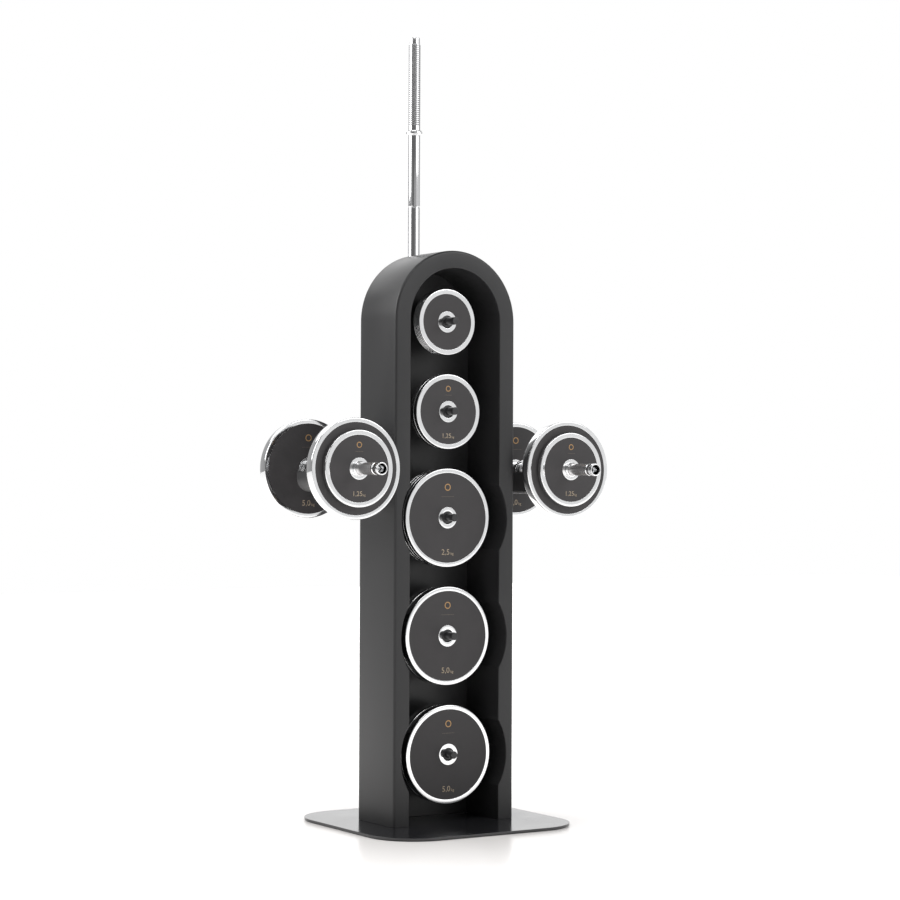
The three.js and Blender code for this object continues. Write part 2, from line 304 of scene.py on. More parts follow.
@dataclass(frozen=True)
class Chrome(Finish):
    """Polished chrome with faint handling marks."""

    name: str = "polished_chrome"
    slot: str = "chrome"
    dark: Colour = (0.80, 0.805, 0.815)
    light: Colour = (0.88, 0.885, 0.89)
    smooth: float = 0.05
    rough: float = 0.13
    drift: Grain = Grain(34, 6)
    depth: float = 0.000004
    strength: float = 0.25
    grain: Grain | None = Grain(900, 2)
    metal: float = 1.0


@dataclass(frozen=True)
class TurnedChrome(Finish):
    """Chrome over fine turning rings, as on a bar's shank."""

    name: str = "turned_chrome"
    slot: str = "chrome"
    dark: Colour = (0.58, 0.58, 0.59)
    light: Colour = (0.68, 0.68, 0.69)
    smooth: float = 0.08
    rough: float = 0.14
    drift: Grain = Grain(60, 4, (1, 1, 60))
    depth: float = 0.000003
    strength: float = 0.1
    metal: float = 1.0


@dataclass(frozen=True)
class Knurl(Finish):
    """Chrome cut with a crossed diamond pattern for grip."""

    name: str = "knurled_chrome"
    slot: str = "chrome"
    dark: Colour = (0.62, 0.62, 0.63)
    light: Colour = (0.78, 0.78, 0.79)
    smooth: float = 0.16
    rough: float = 0.26
    drift: Grain = Grain(90, 4)
    depth: float = 0.0002
    strength: float = 0.8
    metal: float = 1.0
    radius: float = 0.014
    pitch: float = 0.0016

    def height(self, bench: NodeBench, drift: bpy.types.NodeSocket) -> bpy.types.NodeSocket:
        """Works out two helical cuts that cross about the Y axis.

        Args:
            bench: The node helper that holds the shader.
            drift: The drift that colour and roughness follow, which the cuts don't use.

        Returns:
            The height of the crossed cuts.
        """
        parts = bench.add("ShaderNodeSeparateXYZ")
        bench.join(bench.place(), parts.inputs["Vector"])
        angle = bench.work_out("ARCTAN2", parts.outputs["X"], parts.outputs["Z"])
        turns = round(2 * math.pi * self.radius / self.pitch)
        waves = []
        for hand in (1, -1):
            along = bench.work_out("MULTIPLY", parts.outputs["Y"], hand * 2 * math.pi / self.pitch)
            helix = bench.work_out("MULTIPLY_ADD", angle, turns, along)
            waves.append(bench.work_out("SINE", helix))
        return bench.work_out("MINIMUM", *waves)


@dataclass(frozen=True)
class Lacquer(Finish):
    """Satin black lacquer with a faint orange peel."""

    name: str = "satin_black_lacquer"
    slot: str = "lacquer"
    dark: Colour = (0.017, 0.017, 0.018)
    light: Colour = (0.024, 0.024, 0.025)
    smooth: float = 0.32
    rough: float = 0.40
    drift: Grain = Grain(7, 5, (1, 1, 0.35))
    depth: float = 0.00002
    strength: float = 0.35
    grain: Grain | None = Grain(420, 2)
    gloss: float = 0.42


@dataclass(frozen=True)
class PowderCoat(Finish):
    """Black powder coat with its fine pebble."""

    name: str = "black_powder_coat"
    slot: str = "coated_steel"
    dark: Colour = (0.018, 0.018, 0.019)
    light: Colour = (0.027, 0.027, 0.029)
    smooth: float = 0.30
    rough: float = 0.38
    drift: Grain = Grain(12, 4)
    depth: float = 0.00003
    strength: float = 0.4
    grain: Grain | None = Grain(1400, 3)


@dataclass(frozen=True)
class SmoothCoat(Finish):
    """The floor plate's smooth black coat, bright where it is seen at a low angle."""

    name: str = "smooth_black_coat"
    slot: str = "coated_steel"
    dark: Colour = (0.016, 0.016, 0.018)
    light: Colour = (0.022, 0.022, 0.025)
    smooth: float = 0.15
    rough: float = 0.20
    drift: Grain = Grain(9, 4)
    depth: float = 0.000006
    strength: float = 0.2
    grain: Grain | None = Grain(700, 2)
    gloss: float = 0.85


@dataclass(frozen=True)
class SatinSteel(Finish):
    """Satin bright steel with fine turning lines, which scatters what it mirrors."""

    name: str = "satin_steel"
    slot: str = "chrome"
    dark: Colour = (0.86, 0.85, 0.85)
    light: Colour = (0.93, 0.92, 0.92)
    smooth: float = 0.30
    rough: float = 0.40
    drift: Grain = Grain(40, 3, (1, 40, 1))
    depth: float = 0.000006
    strength: float = 0.2
    metal: float = 1.0


@dataclass(frozen=True)
class RubberInlay(Finish):
    """The warm grey moulded face between a plate's hub and rim."""

    name: str = "plate_inlay"
    slot: str = "plate_inlay"
    dark: Colour = (0.029, 0.027, 0.0283)
    light: Colour = (0.039, 0.0362, 0.0378)
    smooth: float = 0.52
    rough: float = 0.64
    drift: Grain = Grain(22, 4)
    depth: float = 0.00004
    strength: float = 0.4
    grain: Grain | None = Grain(2200, 3)


@dataclass(frozen=True)
class GiltPrint(Finish):
    """Thin gold print with uneven cover."""

    name: str = "gilt_print"
    slot: str = "gilt_print"
    dark: Colour = (0.30, 0.17, 0.07)
    light: Colour = (0.50, 0.31, 0.14)
    smooth: float = 0.34
    rough: float = 0.5
    drift: Grain = Grain(600, 4)
    depth: float = 0.00001
    strength: float = 0.3
    metal: float = 0.4


@dataclass(frozen=True)
class ZincSteel(Finish):
    """Zinc-plated bolt steel with a mottled plating."""

    name: str = "zinc_steel"
    slot: str = "zinc"
    dark: Colour = (0.42, 0.43, 0.45)
    light: Colour = (0.58, 0.59, 0.60)
    smooth: float = 0.26
    rough: float = 0.42
    drift: Grain = Grain(260, 5)
    depth: float = 0.00002
    strength: float = 0.3
    metal: float = 1.0


@dataclass(frozen=True)
class GrooveShadeSteel(Finish):
    """Steel darkened in the bottom of a groove: painted shade in the recess, darker than the polished chrome
    beside it.
    """

    name: str = "groove_painted_shade"
    slot: str = "chrome"
    dark: Colour = (0.22, 0.22, 0.225)
    light: Colour = (0.36, 0.36, 0.365)
    smooth: float = 0.34
    rough: float = 0.5
    drift: Grain = Grain(500, 4)
    depth: float = 0.00001
    strength: float = 0.3
    metal: float = 1.0


@dataclass(frozen=True)
class Polyurethane(Finish):
    """Moulded black cradle rubber with a fine skin."""

    name: str = "black_polyurethane"
    slot: str = "cradle_black"
    dark: Colour = (0.016, 0.016, 0.017)
    light: Colour = (0.024, 0.024, 0.025)
    smooth: float = 0.34
    rough: float = 0.46
    drift: Grain = Grain(30, 3)
    depth: float = 0.00005
    strength: float = 0.35
    grain: Grain | None = Grain(700, 4)


@dataclass(frozen=True)
class Felt(Finish):
    """Pressed felt under the floor plate, a fuzzy dark cloth."""

    name: str = "pressed_felt"
    slot: str = "felt"
    dark: Colour = (0.03, 0.03, 0.031)
    light: Colour = (0.07, 0.07, 0.072)
    smooth: float = 0.95
    rough: float = 0.95
    drift: Grain = Grain(1600, 6)
    depth: float = 0.0002
    strength: float = 0.6
    sheen: float = 0.4

    def dress(self, bench: NodeBench) -> None:
        """Wires the shader and its sheen.

        Args:
            bench: The node helper that holds the shader.
        """
        super().dress(bench)
        bench.shader.inputs["Sheen Weight"].default_value = self.sheen


@dataclass(frozen=True)
class StudioFloor(Finish):
    """Pale studio floor with a faint gloss, which glows more the further it is from the rack."""

    name: str = "studio_floor"
    slot: str = ""
    dark: Colour = (0.91, 0.88, 0.86)
    light: Colour = (0.93, 0.90, 0.88)
    smooth: float = 0.24
    rough: float = 0.24
    drift: Grain = Grain(0.8, 2)
    gloss: float = 0.24
    glow_from: float = 0.25
    glow_to: float = 0.9
    glow_near: float = 0.10
    glow_far: float = 0.75

    def dress(self, bench: NodeBench) -> None:
        """Wires the shader and its glow.

        Args:
            bench: The node helper that holds the shader.
        """
        super().dress(bench)
        bench.shader.inputs["Emission Color"].default_value = (1.0, 1.0, 1.0, 1)
        reach = bench.add("ShaderNodeVectorMath", operation="LENGTH")
        bench.join(bench.place(), reach.inputs[0])
        glow = bench.add("ShaderNodeMapRange")
        glow.inputs["From Min"].default_value = self.glow_from
        glow.inputs["From Max"].default_value = self.glow_to
        glow.inputs["To Min"].default_value = self.glow_near
        glow.inputs["To Max"].default_value = self.glow_far
        bench.join(reach.outputs["Value"], glow.inputs["Value"])
        bench.join(glow.outputs["Result"], bench.shader.inputs["Emission Strength"])


CHROME = Chrome()
TURNED = TurnedChrome()
KNURL = Knurl()
LACQUER = Lacquer()
POWDER = PowderCoat()
SMOOTH = SmoothCoat()
SATIN = SatinSteel()
SLEEVE = SatinSteel("turned_sleeve", smooth=0.26, rough=0.36)
INLAY = RubberInlay()
GILT = GiltPrint()
GILT_PALE = GiltPrint("pale_gilt_print", dark=(0.24, 0.19, 0.13), light=(0.46, 0.38, 0.28))
GILT_FAINT = GiltPrint("faint_gilt_print", dark=(0.07, 0.06, 0.055), light=(0.15, 0.125, 0.105))
# Painted shade: the darkened steel laid into the bottoms of the long bar's ridge grooves.
GROOVE_SHADE = GrooveShadeSteel()
ZINC = ZincSteel()
URETHANE = Polyurethane()
FELT = Felt()
FLOOR = StudioFloor()


# ---------------------------------------------------------------- mesh making

# Points closer than this are one point, in metres.
WELD = 1e-6

# Sides of a round hole through a flat piece.
HOLE_SIDES = 40


@dataclass(frozen=True)
class Corner:
    """A corner of a section: where it is, how round it is, and the finish of the face that follows."""

    x: float
    y: float
    round: float = 0.0
    finish: int = 0


def rounded_path(corners: list[Corner], closed: bool, steps: int = 4) -> list[tuple[float, float, int]]:
    """Rounds the corners of a section.

    Args:
        corners: The section's corners in order, in millimetres.
        closed: Whether the last corner joins the first.
        steps: Points on each rounded corner, less one.

    Returns:
        Points as x, y and the finish of the face that follows.
    """
    points: list[tuple[float, float, int]] = []
    count = len(corners)
    for i, corner in enumerate(corners):
        here = Vector((corner.x, corner.y))
        ends = not closed and i in (0, count - 1)
        if corner.round <= 0 or ends:
            points.append((corner.x, corner.y, corner.finish))
            continue
        before = corners[i - 1]
        after = corners[(i + 1) % count]
        back = Vector((before.x, before.y)) - here
        ahead = Vector((after.x, after.y)) - here
        half = back.angle(ahead) / 2
        reach = min(corner.round / math.tan(half), back.length * 0.49, ahead.length * 0.49)
        start = here + back.normalized() * reach
        stop = here + ahead.normalized() * reach
        for step in range(steps + 1):
            t = step / steps
            spot = start * (1 - t) ** 2 + here * (2 * t * (1 - t)) + stop * t**2
            owner = before.finish if t < 0.5 else corner.finish
            points.append((spot.x, spot.y, owner if step < steps else corner.finish))
    return points


def in_scene(name: str, data: bpy.types.ID) -> bpy.types.Object:
    """Makes an object of its data and links it to the scene."""
    made = bpy.data.objects.new(name, data)
    bpy.context.scene.collection.objects.link(made)
    return made


def finish_mesh(
    name: str,
    bm: bmesh.types.BMesh,
    finishes: list[Finish],
    sharp: float = 38.0,
) -> bpy.types.Object:
    """Turns a bmesh into a shaded object.

    Args:
        name: The object's name.
        bm: The mesh, which is freed.
        finishes: The finishes that its face indices name.
        sharp: Edges that turn more than this stay crisp, in degrees.

    Returns:
        The object, linked to the scene.
    """
    bmesh.ops.remove_doubles(bm, verts=bm.verts, dist=WELD)
    bmesh.ops.recalc_face_normals(bm, faces=bm.faces)
    mesh = bpy.data.meshes.new(name)
    bm.to_mesh(mesh)
    bm.free()
    for finish in finishes:
        mesh.materials.append(finish.material())
    mesh.shade_smooth()
    mesh.set_sharp_from_angle(angle=math.radians(sharp))
    piece = in_scene(name, mesh)
    return piece


def turned(
    name: str,
    corners: list[Corner],
    finishes: list[Finish],
    axis: Axis = Axis.DEPTH,
    sides: int = 96,
    closed: bool = True,
    steps: int = 4,
) -> bpy.types.Object:
    """Makes a turned piece.

    Args:
        name: The object's name.
        corners: Section corners as radius and distance along the axis, in millimetres.
        finishes: The finishes that the corners name.
        axis: What the piece is turned about.
        sides: Faces round the piece.
        closed: Whether the section is a closed loop, as on a ring.
        steps: Steps on each rounded corner.

    Returns:
        The piece, about its own axis with distance 0 at its origin.
    """
    path = rounded_path(corners, closed, steps)
    bm = bmesh.new()
    rings = []
    for radius, along, _ in path:
        ring = []
        for i in range(sides):
            angle = 2 * math.pi * i / sides
            u = radius * math.cos(angle) * MM
            v = radius * math.sin(angle) * MM
            spot = (u, along * MM, v) if axis is Axis.DEPTH else (u, v, along * MM)
            ring.append(bm.verts.new(spot))
            if radius <= 0:
                break
        rings.append(ring)
    last = len(path) if closed else len(path) - 1
    for j in range(last):
        low, high = rings[j], rings[(j + 1) % len(rings)]
        for i in range(sides):
            k = (i + 1) % sides
            around = [low[i % len(low)], low[k % len(low)], high[k % len(high)], high[i % len(high)]]
            unique = list(dict.fromkeys(around))
            if len(unique) >= 3:
                face = bm.faces.new(unique)
                face.material_index = path[j][2]
    return finish_mesh(name, bm, finishes)


def prism(
    name: str,
    outline: Outline,
    low: float,
    high: float,
    finish: Finish,
    axis: Axis = Axis.HEIGHT,
    edge: float = 0.8,
    holes: list[tuple[float, float, float]] | None = None,
) -> bpy.types.Object:
    """Makes a flat piece from an outline, with rounded edges.

    Args:
        name: The object's name.
        outline: Points round the piece in millimetres: X and Y for a height axis, X and Z for a depth one.
        low: Where the piece starts along the axis.
        high: Where it ends.
        finish: Its finish.
        axis: The axis it is drawn out along.
        edge: Radius of its edges.
        holes: Round holes through it as centre and radius.

    Returns:
        The piece, in place.
    """
    bm = bmesh.new()

    def spot(x: float, y: float, along: float) -> Vector:
        """Puts an outline point in space."""
        return Vector((x, along, y) if axis is Axis.DEPTH else (x, y, along)) * MM

    base = [bm.verts.new(spot(x, y, low)) for x, y in outline]
    edges = [bm.edges.new((base[i - 1], base[i])) for i in range(len(base))]
    for cx, cy, radius in holes or []:
        loop = [
            bm.verts.new(spot(cx + radius * math.cos(a), cy + radius * math.sin(a), low))
            for a in (2 * math.pi * i / HOLE_SIDES for i in range(HOLE_SIDES))
        ]
        edges += [bm.edges.new((loop[i - 1], loop[i])) for i in range(len(loop))]
    bmesh.ops.triangle_fill(bm, edges=edges, use_beauty=True)
    grown = bmesh.ops.extrude_face_region(bm, geom=list(bm.faces))
    lift = spot(0, 0, high) - spot(0, 0, low)
    raised = [part for part in grown["geom"] if isinstance(part, bmesh.types.BMVert)]
    bmesh.ops.translate(bm, vec=lift, verts=raised)
    bmesh.ops.recalc_face_normals(bm, faces=bm.faces)
    piece = finish_mesh(name, bm, [finish])
    bevel = piece.modifiers.new("edges", "BEVEL")
    bevel.width = edge * MM
    bevel.segments = 3
    bevel.limit_method = "ANGLE"
    bevel.angle_limit = math.radians(50)
    bake_modifiers(piece)
    along = spot(0, 0, 1).normalized()
    flat = 0.999
    for face in piece.data.polygons:
        face.use_smooth = abs(face.normal.dot(along)) < flat
    return piece


def bake_modifiers(piece: bpy.types.Object) -> None:
    """Applies a piece's modifiers.

    Args:
        piece: The piece to apply them on.
    """
    graph = bpy.context.evaluated_depsgraph_get()
    mesh = bpy.data.meshes.new_from_object(piece.evaluated_get(graph))
    piece.modifiers.clear()
    piece.data = mesh


def arc(cx: float, cy: float, radius: float, start: float, stop: float, steps: int) -> Outline:
    """Points on a round arc.

    Args:
        cx: Centre along the first axis.
        cy: Centre along the second.
        radius: Its radius.
        start: First angle in degrees.
        stop: Last angle in degrees.
        steps: Steps between them.

    Returns:
        The points, both ends included.
    """
    turns = [math.radians(start + (stop - start) * i / steps) for i in range(steps + 1)]
    return [(cx + radius * math.cos(a), cy + radius * math.sin(a)) for a in turns]


def rounded_rectangle(width: float, depth: float, corner: float, steps: int = 20) -> Outline:
    """The outline of a rectangle with round corners.

    Args:
        width: Size along X.
        depth: Size along Y.
        corner: Corner radius.
        steps: Steps on each corner.

    Returns:
        Points round it.
    """
    x, y = width / 2 - corner, depth / 2 - corner
    return (
        arc(x, y, corner, 0, 90, steps)
        + arc(-x, y, corner, 90, 180, steps)
        + arc(-x, -y, corner, 180, 270, steps)
        + arc(x, -y, corner, 270, 360, steps)
    )


def settle(piece: bpy.types.Object, body: str, *nodes: str) -> bpy.types.Object:
    """Makes a placed piece ride on a body and stand for CAD nodes.

    Args:
        piece: The piece, already in place.
        body: The body that it moves with.
        *nodes: The nodes that it stands for.

    Returns:
        The same piece.
    """
    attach(piece, body)
    if nodes:
        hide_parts(*nodes)
    LOG.info("%s rides on %s", piece.name, body)
    return piece


@dataclass(frozen=True)
class PrintLayout:
    """How the print on a plate is laid out.

    The type size is for each millimetre of figure height. The shares from shift to ring are of that height
    too, and the ring's bore is a share of the ring. The last four are millimetres.
    """

    type_size: float = 1.4
    type_width: float = 1.02
    shift: float = 0.40
    start: float = 0.10
    half_figure: float = 0.27
    unit_gap: float = 0.02
    unit_drop: float = 0.24
    unit: float = 0.5
    ring: float = 0.62
    ring_bore: float = 0.72
    ink: float = 0.06
    sunk: float = 0.02
    rule_height: float = 0.9
    rule_corner: float = 0.4


LAYOUT = PrintLayout()


def printed(name: str, words: str, size: float, place: Vector, facing: End) -> bpy.types.Object:
    """Makes thin raised print on a plate's face.

    Args:
        name: The object's name.
        words: The figures to print.
        size: Height of the type, in millimetres.
        place: Centre of the print, in metres.
        facing: Which way the face looks.

    Returns:
        The print as a mesh.
    """
    type_set = bpy.data.curves.new(name, "FONT")
    type_set.body = words
    type_set.size = size * MM * LAYOUT.type_size
    type_set.align_x = "CENTER"
    type_set.align_y = "CENTER"
    type_set.extrude = LAYOUT.ink * MM / 2
    type_set.resolution_u = 3
    holder = in_scene(name, type_set)
    graph = bpy.context.evaluated_depsgraph_get()
    graph.update()
    mesh = bpy.data.meshes.new_from_object(holder.evaluated_get(graph))
    bpy.data.objects.remove(holder)
    stand = Matrix.Rotation(math.pi / 2, 4, "X")
    spin = Matrix.Identity(4) if facing is End.FRONT else Matrix.Rotation(math.pi, 4, "Z")
    mesh.transform(Matrix.Translation(place) @ spin @ stand @ Matrix.Diagonal((LAYOUT.type_width, 1, 1, 1)))
    mesh.materials.clear()
    mesh.materials.append(GILT_PALE.material())
    piece = in_scene(name, mesh)
    return piece


# ---------------------------------------------------------------- sub-assemblies


@dataclass
class FloorPlate:
    """The coated floor plate and the felt under it."""

    width: float = 454
    depth: float = 438
    corner: float = 100
    top: float = 6.5
    pad: float = 1.5
    inset: float = 3

    def build(self) -> None:
        """Builds the plate and its felt."""
        outline = rounded_rectangle(self.width, self.depth, self.corner)
        plate = prism("floor_plate_coated", outline, self.pad + GAP, self.top, SMOOTH, edge=0.7)
        settle(plate, "tower", "floor_plate")
        less = 2 * self.inset
        cut = rounded_rectangle(self.width - less, self.depth - less, self.corner - self.inset)
        pad = prism("floor_felt", cut, 0, self.pad, FELT, edge=0.3)
        settle(pad, "tower", "floor_pad")


@dataclass
class Tower:
    """The arch-topped box: one lacquered frame with a panel set into its back."""

    outer: float = 141.5
    inner: float = 106.0
    front: float = -69.0
    back: float = 73.7
    niche_back: float = 51.0
    panel_rear: float = 69.0
    foot: float = 6.8
    spring: float = 1021.0
    scoop: float = 125.0
    scoop_heights: tuple[float, ...] = (142.8, 382.3, 621.8)
    peg_heights: tuple[float, ...] = (143.5, 383.0, 622.5, 838.0, 1020.5)
    edge: float = 2.0
    shoulder: float = 5.5
    crease: float = 0.02
    bolt_hole: float = 4.3
    wall_steps: int = 24
    arch_steps: int = 72

    def wall_stations(self) -> list[float]:
        """Returns the heights up a wall at which its section is set, close together in the scoops."""
        half = math.sqrt(self.scoop**2 - self.inner**2)
        marks = {self.foot, self.spring}
        rise = self.spring - self.foot
        marks |= {self.foot + i * rise / self.wall_steps for i in range(self.wall_steps + 1)}
        for height in self.scoop_heights:
            marks |= {height + half * math.sin(math.radians(a)) for a in range(-90, 91, 5)}
        return sorted(marks)

    def scooped(self, height: float) -> float:
        """How far out the inner wall stands at a height, scoops included."""
        reach = self.inner
        for middle in self.scoop_heights:
            away = abs(height - middle)
            if away < self.scoop:
                reach = max(reach, math.sqrt(self.scoop**2 - away**2))
        return reach

    def section(self, inner: float) -> Outline:
        """The frame's section where its inner face stands at a given distance.

        Args:
            inner: Distance of the inner face of the niche from the middle.

        Returns:
            Points as distance from the middle and depth.
        """
        corners = [
            Corner(inner, self.front, self.edge),
            Corner(self.outer, self.front, self.shoulder),
            Corner(self.outer, self.back, self.shoulder),
            Corner(self.inner, self.back, self.edge),
            Corner(self.inner, self.niche_back + self.crease),
            Corner(inner + self.crease, self.niche_back),
        ]
        return [(x, y) for x, y, _ in rounded_path(corners, True, 6)]

    def build_frame(self) -> None:
        """Builds the two walls and the arch as one smooth frame."""
        bm = bmesh.new()
        stations = []
        heights = self.wall_stations()
        for height in heights:
            stations.append([(x, y, height) for x, y in self.section(self.scooped(height))])
        for step in range(1, self.arch_steps):
            turn = math.radians(180 * step / self.arch_steps)
            row = []
            for reach, depth in self.section(self.inner):
                row.append((reach * math.cos(turn), depth, self.spring + reach * math.sin(turn)))
            stations.append(row)
        for height in reversed(heights):
            stations.append([(-x, y, height) for x, y in self.section(self.scooped(height))])
        rows = [[bm.verts.new(Vector(p) * MM) for p in row] for row in stations]
        for low, high in zip(rows, rows[1:]):
            for i in range(len(low)):
                k = (i + 1) % len(low)
                bm.faces.new((low[i], low[k], high[k], high[i]))
        bm.faces.new(rows[0])
        bm.faces.new(rows[-1])
        frame_piece = finish_mesh("tower_frame", bm, [LACQUER], sharp=30)
        settle(frame_piece, "tower", "left_wall", "right_wall", "arch_cap")

    def build_panel(self) -> None:
        """Builds the panel behind the pegs."""
        reach = self.inner - GAP
        outline = [(-reach, self.foot), (reach, self.foot)]
        outline += arc(0, self.spring, reach, 0, 180, self.arch_steps)
        holes = [(0.0, height, self.bolt_hole) for height in self.peg_heights]
        front, rear = self.niche_back, self.panel_rear
        panel = prism("niche_panel", outline, front, rear, LACQUER, Axis.DEPTH, 0.5, holes)
        settle(panel, "tower", "back_panel")

    def build(self) -> None:
        """Builds the whole tower."""
        self.build_frame()
        self.build_panel()


@dataclass
class PlateKind:
    """The sizes of one weight of plate."""

    key: str
    figures: str
    diameter: float
    thickness: float
    rim: float
    figure_size: float
    figure_drop: float
    mark_rise: float
    rule: float = 30.0
    rule_drop: float = 19.0
    hub: float = 43.0
    hole: float = 26.0
    recess: float = 0.6
    back_recess: float = 0.6
    edge: float = 1.8
    hole_edge: float = 0.7
    land_edge: float = 0.35
    slope: float = 0.2

    def section(self) -> list[Corner]:
        """Returns the plate's section: chrome hub and rim with an inlay let into each face."""
        hole, hub = self.hole / 2, self.hub / 2
        outer, lip = self.diameter / 2, self.diameter / 2 - self.rim
        deep = self.thickness
        edge = min(self.edge, deep * 0.34)
        return [
            Corner(hole, 0, self.hole_edge),
            Corner(hub, 0, self.land_edge),
            Corner(hub + self.slope, self.recess, 0, 1),
            Corner(lip - self.slope, self.recess),
            Corner(lip, 0, self.land_edge),
            Corner(outer, 0, edge),
            Corner(outer, deep, edge),
            Corner(lip, deep, self.land_edge),
            Corner(lip - self.slope, deep - self.back_recess, 0, 1),
            Corner(hub + self.slope, deep - self.back_recess),
            Corner(hub, deep, self.land_edge),
            Corner(hole, deep, self.hole_edge),
        ]


HALF = PlateKind("0_5kg", "", 134, 4.8, 9.9, 0, 0, 0, recess=0.4, back_recess=0.4)
ONE = PlateKind("1_25kg", "1,25", 152, 11.7, 9.7, 9.5, 49.5, 46.5, 18.0, 13.0, back_recess=3.6)
TWO = PlateKind("2_5kg", "2,5", 200, 10.3, 8.7, 11.5, 70, 62)
FIVE = PlateKind("5kg", "5,0", 200, 21, 8.7, 11.5, 70, 62, edge=2.2)


@dataclass
class Plate:
    """One weight plate, standing for its CAD node."""

    kind: PlateKind
    node: str
    body: str
    faces: tuple[End, ...] = (End.FRONT,)
    flipped: bool = False

    def build(self) -> None:
        """Builds the plate and its print."""
        low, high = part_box(self.node)
        middle = (low + high) / 2
        plate = turned(f"{self.node}_turned", self.kind.section(), [CHROME, INLAY], sides=128)
        if self.flipped:
            plate.data.transform(Matrix.Rotation(math.pi, 4, "Z"))
            plate.location = (middle.x, high.y, middle.z)
        else:
            plate.location = (middle.x, low.y, middle.z)
        settle(plate, self.body, self.node)
        if self.kind.figures:
            for facing in self.faces:
                self.print_face(middle, low.y if facing is End.FRONT else high.y, facing)

    def print_face(self, middle: Vector, face: float, facing: End) -> None:
        """Prints the weight and a plain ring on one face.

        Args:
            middle: The plate's middle.
            face: Depth of the plate's outer face.
            facing: Which way that face looks.
        """
        kind = self.kind
        hand = -facing.sign
        level = face + hand * (kind.recess - LAYOUT.sunk) * MM
        wide = kind.figure_size * MM
        stem = f"{self.node}_{facing.value}"
        reach = wide * (LAYOUT.start + LAYOUT.half_figure * len(kind.figures))
        spot = Vector((middle.x - hand * wide * LAYOUT.shift, level, middle.z - kind.figure_drop * MM))
        figures = printed(f"{stem}_figures", kind.figures, kind.figure_size, spot, facing)
        settle(figures, self.body)
        beside = middle.x + hand * (reach + wide * LAYOUT.unit_gap)
        unit_spot = Vector((beside, level, spot.z - wide * LAYOUT.unit_drop))
        unit = printed(f"{stem}_unit", "kg", kind.figure_size * LAYOUT.unit, unit_spot, facing)
        settle(unit, self.body)
        size = kind.figure_size * LAYOUT.ring
        bore = size * LAYOUT.ring_bore
        ink = LAYOUT.ink
        section = [Corner(bore, 0), Corner(size, 0), Corner(size, ink), Corner(bore, ink)]
        ring = turned(f"{stem}_ring", section, [GILT], sides=48)
        ring.location = (middle.x, level - ink / 2 * MM, middle.z + kind.mark_rise * MM)
        settle(ring, self.body)
        height = middle.z / MM + kind.mark_rise - kind.rule_drop
        bar = rounded_rectangle(kind.rule, LAYOUT.rule_height, LAYOUT.rule_corner, 4)
        outline = [(middle.x / MM + x, height + z) for x, z in bar]
        low, high = level / MM - ink / 2, level / MM + ink / 2
        rule = prism(f"{stem}_rule", outline, low, high, GILT_FAINT, Axis.DEPTH, 0.01)
        settle(rule, self.body)


@dataclass
class Peg:
    """One peg with the shoulder behind its stack and its bolt."""

    number: int
    kind: PlateKind
    count: int
    front: float = -69.0
    rear: float = 50.7
    nose: float = 7.75
    nose_set: float = 1.0
    shank: float = 12.0
    shoulder: float = 15.0
    bolt_hole: float = 4.3
    bolt_depth: float = 24.0
    bolt: float = 4.0
    bolt_head: float = 8.0
    bolt_seat: float = 69.3

    def build(self) -> None:
        """Builds the peg, its bolt and its stack of plates."""
        node = f"peg_{self.number}"
        low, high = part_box(node)
        height = (low.z + high.z) / 2
        names = [f"{node}_plate_{self.kind.key}_{n + 1}" for n in range(self.count)]
        stack_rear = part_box(names[-1])[1].y / MM + GAP
        bolt_end = self.rear - self.bolt_depth
        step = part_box(names[0])[0].y / MM + self.nose_set
        peg = turned(
            f"{node}_coated",
            [
                Corner(0, self.front),
                Corner(self.nose, self.front, 1.3),
                Corner(self.nose, step, 0.5),
                Corner(self.shank, step, 1.2),
                Corner(self.shank, stack_rear, 0.4),
                Corner(self.shoulder, stack_rear, 1.5),
                Corner(self.shoulder, self.rear, 0.5),
                Corner(self.bolt_hole, self.rear, 0.4),
                Corner(self.bolt_hole, bolt_end),
                Corner(0, bolt_end),
            ],
            [POWDER],
            sides=64,
            closed=False,
        )
        peg.location = (0, 0, height)
        settle(peg, "tower", node)
        self.build_bolt(height)
        for n, name in enumerate(names):
            Plate(self.kind, name, f"{node}_plate_{n + 1}").build()

    def build_bolt(self, height: float) -> None:
        """Builds the bolt behind the panel.

        Args:
            height: Height of the peg's axis, in metres.
        """
        node = f"peg_bolt_{self.number}"
        low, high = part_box(node)
        tip, top = low.y / MM, high.y / MM
        bolt = turned(
            f"{node}_turned",
            [
                Corner(0, tip),
                Corner(self.bolt - 0.6, tip, 0.4),
                Corner(self.bolt, tip + 0.8, 0.4),
                Corner(self.bolt, self.bolt_seat, 0.3),
                Corner(self.bolt_head, self.bolt_seat, 0.5),
                Corner(self.bolt_head, top, 1.6),
                Corner(3.1, top, 0.3),
                Corner(2.9, top - 2.6, 0.2),
                Corner(0, top - 3.0),
            ],
            [ZINC],
            sides=48,
            closed=False,
        )
        bolt.location = (0, 0, height)
        settle(bolt, "tower", node)


